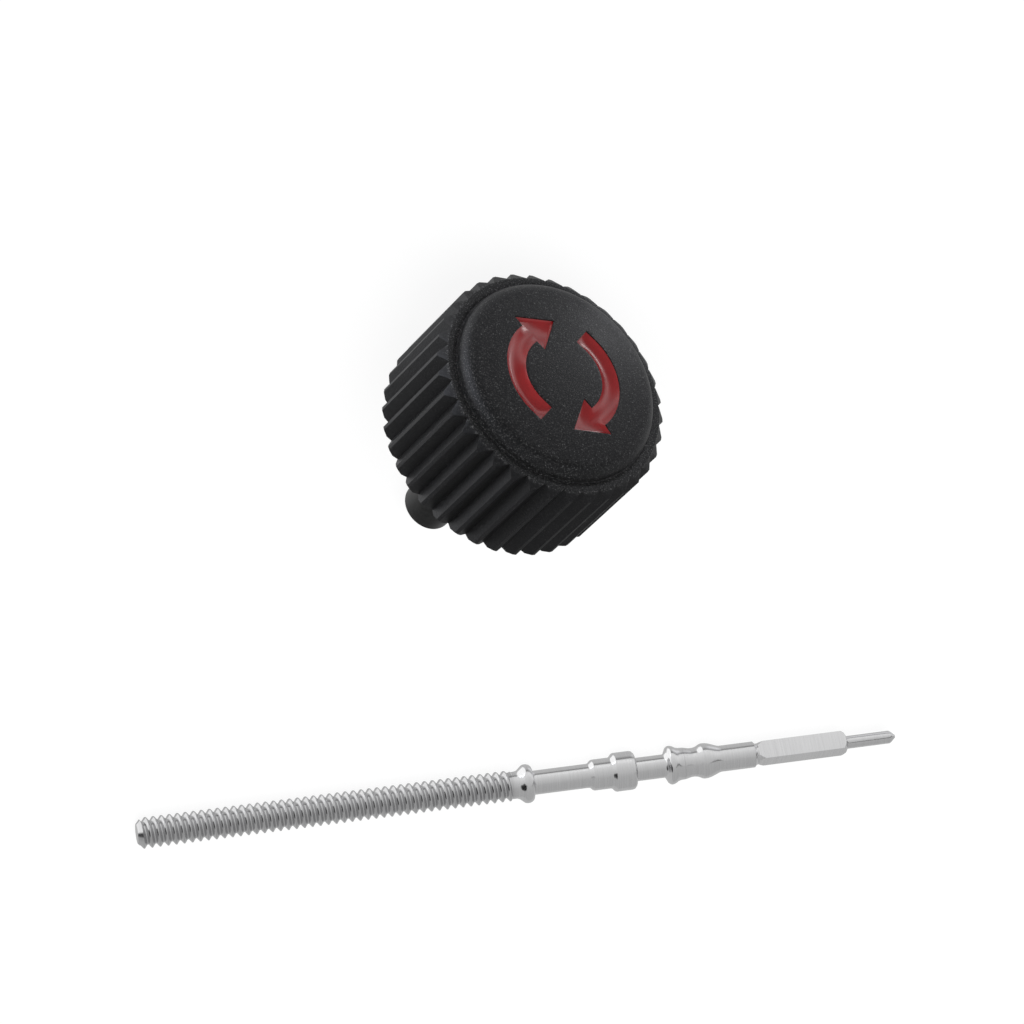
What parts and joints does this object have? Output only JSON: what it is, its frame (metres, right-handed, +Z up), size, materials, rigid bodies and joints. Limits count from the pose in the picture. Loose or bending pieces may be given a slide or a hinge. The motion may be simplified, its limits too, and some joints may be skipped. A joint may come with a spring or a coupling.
{
  "type": "watch crown",
  "caption": "Screw-down watch crown with a ridged grip, low dome and sprung pipe, beside its loose winding stem with a threaded shank, turned collars, milled square and pilot.",
  "frame": {"origin": "bottom centre of the box round the set as it lies on the bench", "axes": "+X along the stem towards its threaded end, +Z up from the bench, -Y the side that the crown's face looks to"},
  "size_m": [0.0224, 0.0172, 0.0076],
  "materials": {
    "black_steel": "steel with a black vapour-deposited coat over fine bead blasting, satin with a faint sparkle",
    "inner_steel": "turned stainless steel",
    "gasket_rubber": "matt nitrile rubber",
    "spring_steel": "drawn spring wire",
    "bright_steel": "fine-turned carbon steel, bright and lightly polished",
    "red_enamel": "glossy translucent red lacquer in a round-bottomed recess"
  },
  "bodies": {
    "head": {"crown_shell": "black_steel", "threaded_core": "inner_steel", "tube_gasket": "gasket_rubber", "retaining_washer": "inner_steel", "clutch_spring": "spring_steel"},
    "pipe": {"clutch_pipe": "black_steel"},
    "stem": {"winding_stem": "bright_steel"}
  },
  "joints": [
    {"name": "pipe_press", "type": "slide", "parent": "head", "child": "pipe", "axis": [-0.381, -0.7166, 0.5842], "range_m": [0, 0.00065], "stiffness_N_per_m": 1500, "deforming": ["clutch_spring"]},
    {"name": "stem_lift", "type": "slide", "parent": "head", "child": "stem", "axis": [0, 0, 1], "range_m": [0, 0.02]}
  ]
}
